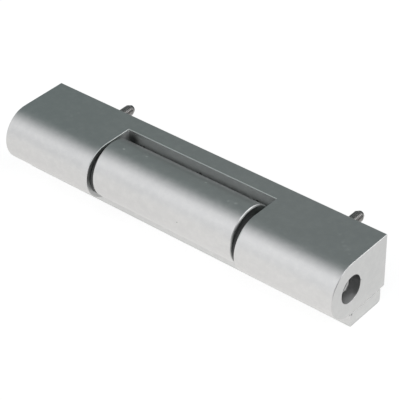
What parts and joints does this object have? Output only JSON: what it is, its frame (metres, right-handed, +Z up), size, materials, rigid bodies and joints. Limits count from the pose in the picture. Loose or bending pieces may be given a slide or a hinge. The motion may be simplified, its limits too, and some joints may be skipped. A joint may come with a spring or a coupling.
{
  "type": "barrel hinge",
  "caption": "Aluminium barrel hinge, folded shut: a round-fronted block leaf with studs, notched for the wide centre knuckle of a flat leaf below, turning on a hidden pin.",
  "frame": {"origin": "on the outer leaf's back face, midway between the studs and level with the pin", "axes": "+X along the hinge, +Y out of the outer leaf's back along the studs, +Z up, away from the centre leaf's plate"},
  "size_m": [0.14, 0.0434, 0.0273],
  "materials": {
    "leaf_aluminium": "satin anodised",
    "pin_steel": "ground",
    "bush_polymer": "matt moulded",
    "stud_steel": "dark"
  },
  "bodies": {
    "outer": {"outer_leaf": "leaf_aluminium", "hinge_pin": "pin_steel", "left_stud": "stud_steel", "right_stud": "stud_steel"},
    "centre": {"centre_leaf": "leaf_aluminium", "left_bush": "bush_polymer", "right_bush": "bush_polymer"}
  },
  "joints": [
    {"name": "leaf_swing", "type": "hinge", "parent": "outer", "child": "centre", "pos_m": [0, -0.0186, 0], "axis": [-1, 0, 0], "range_deg": [0, 180]}
  ]
}
